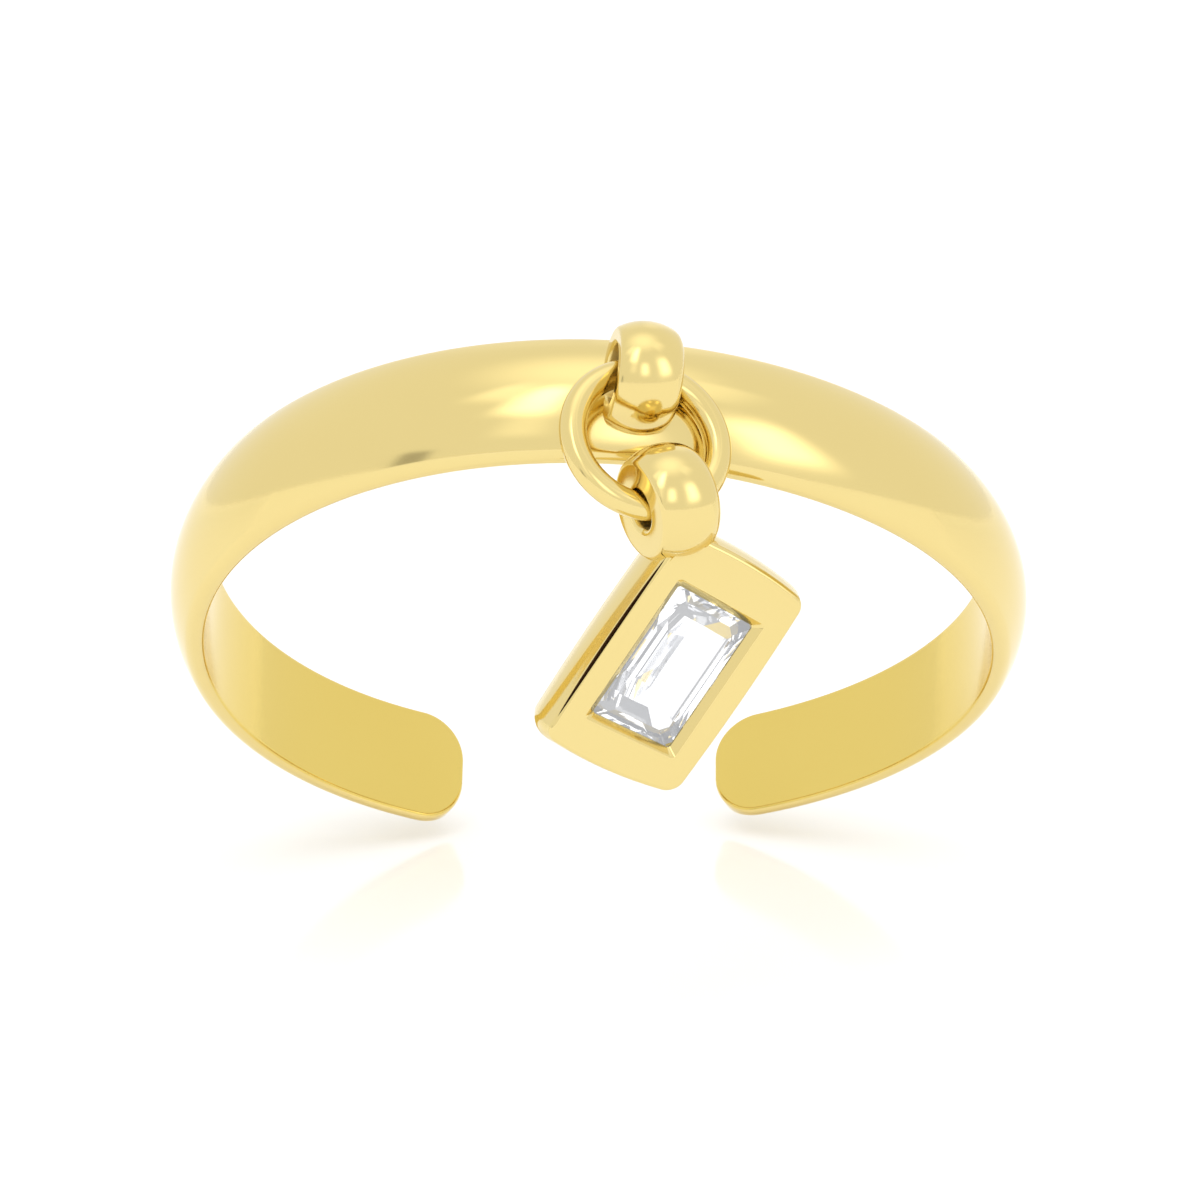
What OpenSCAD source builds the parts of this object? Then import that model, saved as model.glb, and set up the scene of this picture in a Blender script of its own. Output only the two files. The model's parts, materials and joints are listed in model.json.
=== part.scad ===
// An open toe ring with a stone-set drop. All lengths are in millimetres.
// The origin is the centre of the toe opening. +Z is up, -Y is the front, where the drop hangs.

/* [Band] */
// Diameter of the toe opening
inner_d = 15.9; // [13:0.1:19]
// Thickness of the band at its crown
band_t = 0.75; // [0.6:0.05:1.2]
// Width of the band, along the toe
band_w = 2.6; // [2.2:0.1:4]
// Thickness of the flat rim that the dome stands on
edge_t = 0.3; // [0.2:0.05:0.4]
// Half of the open angle between the two ends
gap_deg = 20.5; // [10:0.5:30]
// Turn of the opening from straight behind, towards the left
gap_turn = 0.8; // [-5:0.1:5]
// Radius of the corners of each end
end_r = 0.9; // [0.3:0.05:1]

/* [Eye on the band] */
// Thickness of the eye around its hole, at the top of its dome
eye_wall = 0.48; // [0.4:0.01:0.6]
// Width of the eye along its hole
eye_w = 1.3; // [1:0.05:1.4]
// Place of the eye round the band, from its front towards the right
eye_deg = 4.4; // [-10:0.2:10]
// How much deeper in the band the eye sits than its hole needs
eye_sink = 0; // [0:0.01:0.08]
// Turn of the eye on the band, from the band's own direction
eye_twist = 8; // [0:0.5:10]
// Height of the eye's middle above the middle of the band's width
eye_lift = -0.07; // [-0.2:0.01:0.2]

/* [Jump ring] */
// Diameter of the wire
wire_d = 0.5; // [0.4:0.02:0.6]
// Inner diameter of the jump ring
jump_d = 2.25; // [2:0.05:3]
// Turn of the jump ring about the upright, its left side to the front
jump_yaw = 23; // [14:1:23]
// Turn of the jump ring in its own plane, its foot to the left
jump_turn = 8; // [0:1:13]

/* [Bail] */
// Thickness of the bail around its hole, at the top of its dome
bail_wall = 0.58; // [0.4:0.01:0.7]
// Width of the bail along its hole
bail_w = 1.26; // [1.1:0.02:1.4]
// Place of the bail round the jump ring, from its foot towards the right
bail_deg = 5; // [0:1:20]
// Turn of the bail on the wire, its left side down
bail_tip = 4; // [0:1:6]

/* [Air between pieces] */
// Air all round the wire in the middle of the eye
eye_play = 0.3; // [0.28:0.01:0.35]
// Air all round the wire in the middle of the bail
bail_play = 0.22; // [0.18:0.01:0.35]
// How much further out the wire lies than the middle of the eye
wire_out = 0.08; // [0.05:0.01:0.12]
// How far to the left of the eye's middle the wire is highest, in degrees round the band
wire_left = 0.8; // [0:0.1:1.2]
// How much higher the wire lies than the middle of the eye
wire_up = 0.04; // [0:0.01:0.08]
// How much higher the middle of the bail lies than the wire in it
bail_up = 0.09; // [0:0.01:0.1]
// Air between the wire and the band that it rests on
rest_air = 0.05; // [0.02:0.01:0.1]
// Air between the stone and the setting
stone_air = 0.03; // [0.02:0.005:0.05]

/* [Setting] */
// Long side of the setting
setting_l = 4.32; // [3.6:0.02:6]
// Short side of the setting
setting_w = 2.74; // [2.2:0.02:4]
// How far the corner of the setting reaches into the bail's hole before it is bored
corner_in = 0.15; // [0.05:0.01:0.3]
// Depth of the setting, front to back
setting_t = 1.3; // [1.1:0.05:1.6]
// Radius of the setting's four upright corners
setting_r = 0.25; // [0.1:0.05:0.4]
// Width of the rim beside the stone on the two long sides
side_rim = 0.46; // [0.3:0.01:0.6]
// Width of the rim beside the stone on the two short sides, on average
end_rim = 0.7; // [0.4:0.01:0.9]
// How much further from the bail the stone lies than the middle of the setting
stone_low = 0.08; // [0:0.01:0.15]
// Depth of the sloped mouth in front of the stone
mouth_t = 0.16; // [0.1:0.01:0.2]
// Width of the sloped mouth
mouth_w = 0.1; // [0.04:0.01:0.15]
// Thickness of the lip that holds the stone
lip_t = 0.05; // [0.04:0.01:0.1]
// Half of the opening in the back is this much less than half of the stone
seat_w = 0.42; // [0.2:0.01:0.5]

/* [Stone] */
// Height of the crown, from the girdle to the table
crown_h = 0.22; // [0.15:0.01:0.3]
// Thickness of the girdle
girdle_t = 0.06; // [0.04:0.01:0.1]
// Depth of the pavilion, from the girdle to the keel
pavilion_h = 0.62; // [0.4:0.01:0.7]
// Width of the crown's slope
crown_w = 0.32; // [0.2:0.01:0.4]
// Length that each corner of the stone is cut back
corner_cut = 0.2; // [0.1:0.01:0.3]

/* [As held] */
// Turn of the setting's face about the upright, to the right
setting_yaw = 14; // [0:1:20]
// Turn of the setting in its own plane, its foot to the left, past where its diagonal is upright
setting_turn = 3; // [-3:0.1:3]
// Lift of the band's front about the side-to-side line
band_tilt = 43.8; // [20:0.1:60]
// Fall of the band's right side
band_roll = 1.1; // [-3:0.1:3]

/* [Hidden] */
$fn = 96;
// Cuts run this far past the faces that they open
over = 1;
gold = "#e8c765";

inner_r = inner_d / 2;
crown_r = inner_r + band_t;
// The dome is an arc over the band's width, and rises this much above the rim
dome_rise = band_t - edge_t;
dome_r = (band_w * band_w / 4 + dome_rise * dome_rise) / (2 * dome_rise);

// The eye and the bail are bored for the wire, and the eye holds it clear of the crown
eye_hole_d = wire_d + 2 * eye_play;
bail_hole_d = wire_d + 2 * bail_play;
eye_d = eye_hole_d + 2 * eye_wall;
bail_d = bail_hole_d + 2 * bail_wall;
eye_stand = (wire_d + eye_hole_d) / 4 - eye_sink;

// The stone fills the pocket behind the lip, and the lip hides its girdle
stone_w = setting_w - 2 * side_rim;
stone_l = setting_l - 2 * end_rim;
girdle_y = mouth_t + crown_h + stone_air;
// The setting hangs by one corner, so that its diagonal is nearly upright
diagonal_deg = atan(setting_w / setting_l);
drop_len = (bail_hole_d + norm([setting_w, setting_l])) / 2 - corner_in;

// Turns a direction of the band's own frame as the band is held, and back again
function held(p) =
    let (
        y = p.y * cos(band_tilt) + p.z * sin(band_tilt),
        z = -p.y * sin(band_tilt) + p.z * cos(band_tilt)
    )
    [p.x * cos(band_roll) + z * sin(band_roll), y, -p.x * sin(band_roll) + z * cos(band_roll)];
function unheld(p) =
    let (
        x = p.x * cos(band_roll) - p.z * sin(band_roll),
        z = p.x * sin(band_roll) + p.z * cos(band_roll)
    )
    [x, p.y * cos(band_tilt) - z * sin(band_tilt), p.y * sin(band_tilt) + z * cos(band_tilt)];

// Turns a direction of the upright plane as the jump ring lies at a lean
function in_jump(p, lean) =
    let (y = p.z * sin(lean), z = p.z * cos(lean))
    [p.x * cos(jump_yaw) - y * sin(jump_yaw), p.x * sin(jump_yaw) + y * cos(jump_yaw), z];

// Distance of a point from the band's dome, or from its front rim where that is nearer
function off_band(p) =
    let (
        rho = norm([p.x, p.y]),
        dome = [rho - (crown_r - dome_r), p.z],
        rim = [rho - (inner_r + edge_t), p.z + band_w / 2]
    )
    p.z > -band_w / 2 * (norm(dome) / dome_r) ? norm(dome) - dome_r : norm(rim);

// The middle of the wire at one angle round the jump ring, from its highest point
function wire_at(angle, lean) =
    let (
        here = [sin(angle), 0, cos(angle)],
        eye = [sin(jump_turn), 0, cos(jump_turn)]
    )
    wire_top + jump_r * in_jump(here - eye, lean);
// The least air between the wire and the band, looked for at even steps round the jump ring
function air_at(lean) =
    min([for (k = [1 : air_places]) off_band(unheld(wire_at(360 * k / air_places, lean)))])
        - wire_d / 2;
air_places = 60;
// The jump ring rests against the band at the least lean that leaves the named air
function resting_lean(lean = 0) =
    air_at(lean) >= rest_air || lean > 90 - lean_step ? lean : resting_lean(lean + lean_step);
lean_step = 0.5;

jump_r = (jump_d + wire_d) / 2;
wire_deg = eye_deg - wire_left;
wire_rho = crown_r + eye_stand + wire_out;
wire_top = held([wire_rho * sin(wire_deg), -wire_rho * cos(wire_deg), eye_lift + wire_up]);
jump_lean = resting_lean();
jump_centre = (wire_at(0, jump_lean) + wire_at(180, jump_lean)) / 2;
bail_centre = wire_at(180 - bail_deg, jump_lean) + in_jump([0, 0, bail_up], jump_lean);

// A ring with a round outer dome and a straight hole along X
module domed_ring(d, w, hole) {
    difference() {
        intersection() {
            sphere(d = d);
            cube([w, d + over, d + over], center = true);
        }
        rotate([0, 90, 0])
            cylinder(d = hole, h = w + over, center = true);
    }
}

// The band's section: flat inside, thin at both rims and domed outside
module band_section() {
    intersection() {
        translate([crown_r - dome_r, 0])
            circle(r = dome_r);
        translate([inner_r, -band_w / 2])
            square([band_t, band_w]);
    }
}

// What is cut away past the rounded end on the band's right side
module end_cut() {
    reach = crown_r * tan(gap_deg) + over / 2;
    flat = band_w - 2 * end_r;
    rotate([0, 0, 180 - gap_deg])
        translate([0, -(inner_r + crown_r) / 2, 0])
            rotate([90, 0, 0])
                linear_extrude(4 * band_t, center = true)
                    difference() {
                        translate([-end_r, -band_w])
                            square([reach + end_r, 2 * band_w]);
                        translate([-2 * end_r, -flat / 2])
                            square([2 * end_r, flat]);
                        for (side = [-1, 1])
                            translate([-end_r, side * flat / 2])
                                circle(r = end_r);
                    }
}

module eye() {
    difference() {
        rotate([0, 0, eye_deg])
            translate([0, -(crown_r + eye_stand), eye_lift])
                rotate([0, 0, eye_twist])
                    domed_ring(eye_d, eye_w, eye_hole_d);
        cylinder(r = inner_r + band_t / 2, h = 2 * band_w, center = true);
    }
}

module toe_band() {
    color(gold)
        rotate([-band_tilt, band_roll, 0]) {
            difference() {
                rotate_extrude()
                    band_section();
                rotate([0, 0, gap_turn]) {
                    end_cut();
                    mirror([1, 0, 0])
                        end_cut();
                }
            }
            eye();
        }
}

module jump_ring() {
    color(gold)
        translate(jump_centre)
            rotate([90 - jump_lean, 0, jump_yaw])
                rotate_extrude()
                    translate([jump_r, 0])
                        circle(d = wire_d);
}

// Places a child made with its face to -Y where the setting hangs
module as_hung() {
    translate(bail_centre)
        rotate([0, 0, setting_yaw])
            translate([0, 0, -drop_len])
                rotate([0, diagonal_deg + setting_turn, 0])
                    children();
}

module rounded_plate(w, l, r) {
    for (side = [-1, 1])
        translate([side * (w / 2 - r), 0])
            for (end = [-1, 1])
                translate([0, end * (l / 2 - r)])
                    circle(r = r);
    square([w - 2 * r, l], center = true);
    square([w, l - 2 * r], center = true);
}

// A block with a rectangle of its own size at each depth, in front of it and behind
module tapered_block(w_front, l_front, w_back, l_back, y_front, y_back) {
    function frame(w, l, y) = [
        [-w / 2, y, -l / 2], [w / 2, y, -l / 2], [w / 2, y, l / 2], [-w / 2, y, l / 2]
    ];
    polyhedron(
        points = concat(frame(w_front, l_front, y_front), frame(w_back, l_back, y_back)),
        faces = [
            [3, 2, 1, 0], [4, 5, 6, 7], [0, 1, 5, 4], [1, 2, 6, 5], [2, 3, 7, 6], [3, 0, 4, 7]
        ]
    );
}

// The hollow of the setting: a sloped mouth, the lip's opening, a pocket and an open seat
module stone_hollow() {
    front = -setting_t / 2;
    lip_w = stone_w - 2 * mouth_w;
    lip_l = stone_l - 2 * mouth_w;
    pocket_w = stone_w + 2 * stone_air;
    pocket_l = stone_l + 2 * stone_air;
    pocket_y = mouth_t + lip_t;
    seat_y = girdle_y + girdle_t + stone_air;
    slope = mouth_w / mouth_t;
    tapered_block(stone_w + 2 * over * slope, stone_l + 2 * over * slope, lip_w, lip_l,
        front - over, front + mouth_t);
    translate([-lip_w / 2, front, -lip_l / 2])
        cube([lip_w, pocket_y + lip_t, lip_l]);
    translate([-pocket_w / 2, front + pocket_y, -pocket_l / 2])
        cube([pocket_w, seat_y - pocket_y, pocket_l]);
    tapered_block(pocket_w, pocket_l, pocket_w - 2 * seat_w, pocket_l - 2 * seat_w,
        front + seat_y, front + setting_t);
    translate([seat_w - pocket_w / 2, front + setting_t - lip_t, seat_w - pocket_l / 2])
        cube([pocket_w - 2 * seat_w, over, pocket_l - 2 * seat_w]);
}

module setting() {
    color(gold)
        difference() {
            union() {
                as_hung()
                    difference() {
                        rotate([90, 0, 0])
                            linear_extrude(setting_t, center = true)
                                rounded_plate(setting_w, setting_l, setting_r);
                        translate([0, 0, -stone_low])
                            stone_hollow();
                    }
                bail_place()
                    domed_ring(bail_d, bail_w, bail_hole_d);
            }
            // The hole stays open past the corner of the plate
            bail_place()
                rotate([0, 90, 0])
                    cylinder(d = bail_hole_d, h = bail_w + over, center = true);
        }
}

module bail_place() {
    translate(bail_centre)
        rotate([-jump_lean, 0, jump_yaw])
            rotate([0, -bail_deg - bail_tip, 0])
                children();
}

// A rectangular cut with its corners cut back: a table, a stepped crown and a keel
module stone() {
    half_w = stone_w / 2;
    half_l = stone_l / 2;
    front = -setting_t / 2;
    // Each row is one ring of the cut: how far it lies inside the girdle, and its depth
    rings = [
        [crown_w, girdle_y - crown_h],
        [crown_w * 0.4, girdle_y - crown_h * 0.55],
        [0, girdle_y],
        [0, girdle_y + girdle_t],
        [half_w * 0.45, girdle_y + girdle_t + pavilion_h * 0.6]
    ];
    function ring_points(inset, depth) =
        let (
            w = half_w - inset,
            l = half_l - inset,
            cut = corner_cut * (1 - inset / half_w)
        )
        [for (p = [
            [w - cut, -l], [w, cut - l], [w, l - cut], [w - cut, l],
            [cut - w, l], [-w, l - cut], [-w, cut - l], [cut - w, -l]
        ]) [p.x, front + depth, p.y]];
    keel_y = front + girdle_y + girdle_t + pavilion_h;
    keel_half = half_l - half_w;
    last = 8 * (len(rings) - 1);
    foot = 8 * len(rings);
    points = concat(
        [for (ring = rings) each ring_points(ring[0], ring[1])],
        [[0, keel_y, -keel_half], [0, keel_y, keel_half]]
    );
    sides = [for (k = [0 : len(rings) - 2]) for (i = [0 : 7])
        let (a = 8 * k + i, b = 8 * k + (i + 1) % 8)
        [a, b, b + 8, a + 8]];
    keel = [
        [last + 0, last + 1, foot], [last + 1, last + 2, foot + 1, foot],
        [last + 2, last + 3, foot + 1], [last + 3, last + 4, foot + 1],
        [last + 4, last + 5, foot + 1], [last + 5, last + 6, foot, foot + 1],
        [last + 6, last + 7, foot], [last + 7, last + 0, foot]
    ];
    color("#eef3f8")
        as_hung()
            translate([0, 0, -stone_low])
                polyhedron(
                    points = points,
                    faces = concat([[for (i = [7 : -1 : 0]) i]], sides, keel)
                );
}

toe_band();
jump_ring();
setting();
stone();
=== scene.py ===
"""The looks of an open toe ring with a stone-set drop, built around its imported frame.

Lengths are in millimetres up to the point where a mesh is placed, and in metres from there on.
"""
import json
import logging
import math
from dataclasses import dataclass
from enum import Enum
from typing import Callable, Dict, Iterable, List, Optional, Sequence, Tuple, Union

import bmesh
import bpy
from mathutils import Matrix, Vector


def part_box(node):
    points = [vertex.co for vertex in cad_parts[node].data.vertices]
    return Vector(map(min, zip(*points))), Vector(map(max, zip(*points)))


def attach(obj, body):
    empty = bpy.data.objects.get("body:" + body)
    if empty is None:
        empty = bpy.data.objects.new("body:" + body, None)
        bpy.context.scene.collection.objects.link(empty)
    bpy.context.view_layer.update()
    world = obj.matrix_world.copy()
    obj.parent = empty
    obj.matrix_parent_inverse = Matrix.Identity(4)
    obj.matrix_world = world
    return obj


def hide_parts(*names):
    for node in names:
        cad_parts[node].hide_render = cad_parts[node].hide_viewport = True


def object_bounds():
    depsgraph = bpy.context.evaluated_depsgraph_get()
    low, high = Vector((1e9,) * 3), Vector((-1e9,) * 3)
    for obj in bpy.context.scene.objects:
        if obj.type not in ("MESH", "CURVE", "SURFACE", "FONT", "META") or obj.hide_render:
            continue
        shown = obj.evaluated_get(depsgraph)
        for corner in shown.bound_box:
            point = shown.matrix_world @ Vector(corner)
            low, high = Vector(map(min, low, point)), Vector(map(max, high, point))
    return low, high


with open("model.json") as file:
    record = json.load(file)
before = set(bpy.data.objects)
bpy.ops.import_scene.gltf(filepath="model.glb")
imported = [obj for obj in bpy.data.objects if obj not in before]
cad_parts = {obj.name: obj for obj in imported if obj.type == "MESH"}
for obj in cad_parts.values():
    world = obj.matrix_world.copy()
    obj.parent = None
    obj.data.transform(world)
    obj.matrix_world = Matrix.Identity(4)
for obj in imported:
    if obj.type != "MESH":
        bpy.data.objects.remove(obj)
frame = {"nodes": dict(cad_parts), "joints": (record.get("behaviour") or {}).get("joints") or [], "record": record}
CAD_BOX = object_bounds()

MM = 0.001
WELD = 1e-5
LOG = logging.getLogger("toe_ring")
Point = Tuple[float, float]
Colour = Tuple[float, float, float]
Socket = bpy.types.NodeSocket


class Part(Enum):
    """The nodes of the frame, each with the body that carries it."""

    BAND = ("band", "toe_band")
    WIRE_RING = ("wire_ring", "jump_ring")
    DROP = ("drop", "setting")
    STONE = ("drop", "stone")

    @property
    def body(self) -> str:
        """Name of the body that the piece rides on."""
        return self.value[0]

    @property
    def node(self) -> str:
        """Name of the node."""
        return self.value[1]


class Field:
    """A number that a node tree works out, used in a formula like a plain one."""

    def __init__(self, graph: "Graph", socket: Socket) -> None:
        """Keeps the tree, and the output socket that carries the number."""
        self.graph = graph
        self.socket = socket

    def __add__(self, other: "Number") -> "Field":
        """Adds a number."""
        return self.graph.math("ADD", self, other)

    def __sub__(self, other: "Number") -> "Field":
        """Takes a number away."""
        return self.graph.math("SUBTRACT", self, other)

    def __rsub__(self, other: "Number") -> "Field":
        """Takes this number away from another."""
        return self.graph.math("SUBTRACT", other, self)

    def __mul__(self, other: "Number") -> "Field":
        """Multiplies by a number."""
        return self.graph.math("MULTIPLY", self, other)

    def __truediv__(self, other: "Number") -> "Field":
        """Divides by a number."""
        return self.graph.math("DIVIDE", self, other)

    __radd__ = __add__
    __rmul__ = __mul__


Number = Union[Field, float]


class Graph:
    """A node tree that is built link by link."""

    def __init__(self, tree: bpy.types.NodeTree) -> None:
        """Empties the tree that is to be filled."""
        self.tree = tree
        tree.nodes.clear()

    def node(self, kind: str, **settings: object) -> bpy.types.Node:
        """Adds a node.

        Args:
            kind: The node's type name.
            settings: Properties of the node, by name.

        Returns:
            The new node.
        """
        made = self.tree.nodes.new(kind)
        for name, value in settings.items():
            setattr(made, name, value)
        return made

    def feed(self, socket: Socket, value: object) -> None:
        """Links a field or another socket to an input, or sets the input to a plain value.

        Args:
            socket: The input socket.
            value: A field, an output socket or a plain value.
        """
        if isinstance(value, Field):
            value = value.socket
        if isinstance(value, Socket):
            self.tree.links.new(value, socket)
        else:
            socket.default_value = value

    def math(self, operation: str, *values: Number) -> Field:
        """Adds one sum.

        Args:
            operation: The Math node's operation.
            values: Its numbers, in order.

        Returns:
            The result.
        """
        made = self.node("ShaderNodeMath", operation=operation)
        for socket, value in zip(made.inputs, values):
            self.feed(socket, value)
        return Field(self, made.outputs[0])

    def root(self, value: Field) -> Field:
        """Square root, and nought where the number is below nought."""
        return self.math("SQRT", self.math("MAXIMUM", value, 0.0))

    def split(self, vector: Socket) -> List[Field]:
        """The three numbers of a vector."""
        made = self.fill(self.node("ShaderNodeSeparateXYZ"), {"Vector": vector})
        return [Field(self, socket) for socket in made.outputs]

    def fill(self, made: bpy.types.Node, values: Dict[str, object]) -> bpy.types.Node:
        """Feeds several inputs of a node.

        Args:
            made: The node.
            values: What each input gets, by the input's name.

        Returns:
            The same node.
        """
        for name, value in values.items():
            self.feed(made.inputs[name], value)
        return made

    def remap(self, value: object, ends: Point, to: Point, curve: str = "LINEAR") -> Field:
        """Turns one range of numbers into another, and holds it at both ends.

        Args:
            value: The number to turn.
            ends: Where the range starts and ends.
            to: The results there.
            curve: The Map Range node's way between them.

        Returns:
            The result.
        """
        made = self.node("ShaderNodeMapRange", interpolation_type=curve)
        names = ("Value", "From Min", "From Max", "To Min", "To Max")
        self.fill(made, dict(zip(names, (value, *ends, *to))))
        return Field(self, made.outputs["Result"])


class SurfaceGraph(Graph):
    """The node tree of a new material."""

    def __init__(self, name: str) -> None:
        """Makes the material.

        Args:
            name: The material's name.
        """
        self.material = bpy.data.materials.new(name)
        self.material.use_nodes = True
        super().__init__(self.material.node_tree)
        self.place = self.node("ShaderNodeTexCoord").outputs["Object"]

    def noise(self, size: float, detail: float) -> Socket:
        """Adds a noise.

        Args:
            size: Size of its lumps, in millimetres.
            detail: How many finer layers it has.

        Returns:
            The noise, from 0 to 1.
        """
        made = self.node("ShaderNodeTexNoise")
        self.fill(made, {"Vector": self.place, "Scale": 1 / (size * MM), "Detail": detail})
        return made.outputs["Fac"]

    def blend(self, share: Socket, first: Colour, second: Colour) -> Socket:
        """Blends two colours.

        Args:
            share: How much of the second there is.
            first: The first colour.
            second: The second colour.

        Returns:
            The blend.
        """
        made = self.node("ShaderNodeMix", data_type="RGBA")
        self.fill(made, {"Factor": share, "A": (*first, 1.0), "B": (*second, 1.0)})
        return made.outputs["Result"]

    def bump(self, height: Socket, depth: float, under: Optional[Socket] = None) -> Socket:
        """Adds a shallow relief.

        Args:
            height: Its height, from 0 to 1.
            depth: What a height of 1 stands for, in millimetres.
            under: The normal of a relief that it lies on.

        Returns:
            The normal.
        """
        made = self.fill(self.node("ShaderNodeBump"), {"Height": height, "Distance": depth * MM})
        if under:
            self.feed(made.inputs["Normal"], under)
        return made.outputs["Normal"]

    def surface(self, values: Dict[str, object]) -> bpy.types.Material:
        """Ends the tree in one shader.

        Args:
            values: What each of the shader's inputs gets, by the input's name.

        Returns:
            The finished material.
        """
        shader = self.fill(self.node("ShaderNodeBsdfPrincipled"), values)
        self.feed(self.node("ShaderNodeOutputMaterial").inputs["Surface"], shader.outputs[0])
        return self.material


class GeometryGraph(Graph):
    """A Geometry Nodes tree with named inputs."""

    def __init__(self, name: str) -> None:
        """Makes the tree with its way in and out.

        Args:
            name: The tree's name.
        """
        super().__init__(bpy.data.node_groups.new(name, "GeometryNodeTree"))
        self.tree.interface.new_socket(
            "Geometry", in_out="OUTPUT", socket_type="NodeSocketGeometry"
        )
        self.ways_in = self.node("NodeGroupInput")

    def way_in(self, name: str, kind: str) -> Socket:
        """Adds a named input of one kind and returns its socket inside the tree."""
        self.tree.interface.new_socket(name, in_out="INPUT", socket_type="NodeSocket" + kind)
        return self.ways_in.outputs[name]

    def numbers(self, names: Sequence[str]) -> List[Field]:
        """Adds named inputs for numbers and returns them."""
        return [Field(self, self.way_in(name, "Float")) for name in names]

    def finish(self, geometry: Socket) -> None:
        """Realizes and dresses the geometry, and sends it out.

        Args:
            geometry: The socket with the finished shape.
        """
        for kind in ("GeometryNodeRealizeInstances", "GeometryNodeSetShadeSmooth"):
            geometry = self.fill(self.node(kind), {"Geometry": geometry}).outputs[0]
        dressed = self.fill(self.node("GeometryNodeSetMaterial"), {
            "Geometry": geometry, "Material": self.way_in("Finish", "Material")
        })
        self.feed(self.node("NodeGroupOutput").inputs[0], dressed.outputs[0])

    def mesh(self, **values: object) -> bpy.types.Mesh:
        """Runs the tree on an empty object.

        Args:
            values: The inputs, by name with spaces as underscores.

        Returns:
            The plain mesh that comes out.
        """
        holder = linked(self.tree.name, bpy.data.meshes.new(self.tree.name))
        modifier = holder.modifiers.new("Shape", "NODES")
        modifier.node_group = self.tree
        for item in self.tree.interface.items_tree:
            if item.in_out == "INPUT":
                modifier[item.identifier] = values[item.name.lower().replace(" ", "_")]
        return settled(holder)


def linked(name: str, data: bpy.types.ID) -> bpy.types.Object:
    """Puts a mesh or a camera into the scene.

    Args:
        name: The object's name.
        data: What it shows.

    Returns:
        The new object.
    """
    made = bpy.data.objects.new(name, data)
    bpy.context.scene.collection.objects.link(made)
    return made


def settled(holder: bpy.types.Object) -> bpy.types.Mesh:
    """Turns an object with modifiers into a plain mesh and removes the object.

    Args:
        holder: The object to work out.

    Returns:
        Its final mesh.
    """
    bpy.context.view_layer.update()
    depsgraph = bpy.context.evaluated_depsgraph_get()
    mesh = bpy.data.meshes.new_from_object(holder.evaluated_get(depsgraph))
    bpy.data.objects.remove(holder)
    return mesh


def outward(mesh: bpy.types.Mesh) -> bpy.types.Mesh:
    """Merges what lies in one place and points every face outwards.

    Args:
        mesh: The mesh, which is changed.

    Returns:
        The same mesh.
    """
    shell = bmesh.new()
    shell.from_mesh(mesh)
    bmesh.ops.remove_doubles(shell, verts=shell.verts, dist=WELD * MM)
    bmesh.ops.recalc_face_normals(shell, faces=shell.faces)
    shell.to_mesh(mesh)
    shell.free()
    return mesh


def loft(rings: Sequence[Sequence[Vector]], name: str, capped: bool = False) -> bpy.types.Mesh:
    """Joins closed rings of points into one closed skin.

    Args:
        rings: The rings, each with the same number of points.
        name: The mesh's name.
        capped: Whether the first and the last ring are closed with a face, not joined.

    Returns:
        The skin, in metres.
    """
    count = len(rings[0])
    points = [point * MM for ring in rings for point in ring]
    faces = []
    if capped:
        faces.append(tuple(range(count - 1, -1, -1)))
        faces.append(tuple(range(len(points) - count, len(points))))
    for row in range(len(rings) - capped):
        after = (row + 1) % len(rings)
        for k in range(count):
            beside = (k + 1) % count
            faces.append((
                row * count + k, row * count + beside, after * count + beside, after * count + k
            ))
    mesh = bpy.data.meshes.new(name)
    mesh.from_pydata(points, [], faces)
    return outward(mesh)


def arc(centre: Point, radius: float, start: float, end: float, steps: int) -> List[Point]:
    """Points along an arc between two angles in degrees, both ends among them."""
    turns = [math.radians(start + (end - start) * k / steps) for k in range(steps + 1)]
    return [(centre[0] + radius * math.cos(t), centre[1] + radius * math.sin(t)) for t in turns]


def turned(
    profile: Iterable[Point], steps: int, name: str, capped: bool = False
) -> bpy.types.Mesh:
    """Turns a profile round the X axis.

    Args:
        profile: Pairs of the place along the axis and the distance from it.
        steps: How many pieces the turn is cut into.
        name: The mesh's name.
        capped: Whether the two ends are closed with a face, not joined.

    Returns:
        The turned skin, in metres.
    """
    rings = []
    for x, rho in profile:
        turns = [2 * math.pi * k / steps for k in range(steps)]
        rings.append([Vector((x, rho * math.cos(t), rho * math.sin(t))) for t in turns])
    return loft(rings, name, capped)


class Cut(Enum):
    """How two solids are put together."""

    JOIN = "UNION"
    TAKE_AWAY = "DIFFERENCE"
    KEEP_COMMON = "INTERSECT"


def combined(first: bpy.types.Mesh, how: Cut, second: bpy.types.Mesh) -> bpy.types.Mesh:
    """Puts two closed solids together.

    Args:
        first: The first solid.
        how: What is done with the second.
        second: The second solid.

    Returns:
        The new solid.
    """
    holder = linked(first.name, first)
    tool = linked(second.name, second)
    modifier = holder.modifiers.new(how.name, "BOOLEAN")
    modifier.operation = how.value
    modifier.solver = "EXACT"
    modifier.object = tool
    mesh = settled(holder)
    bpy.data.objects.remove(tool)
    return mesh


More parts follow.
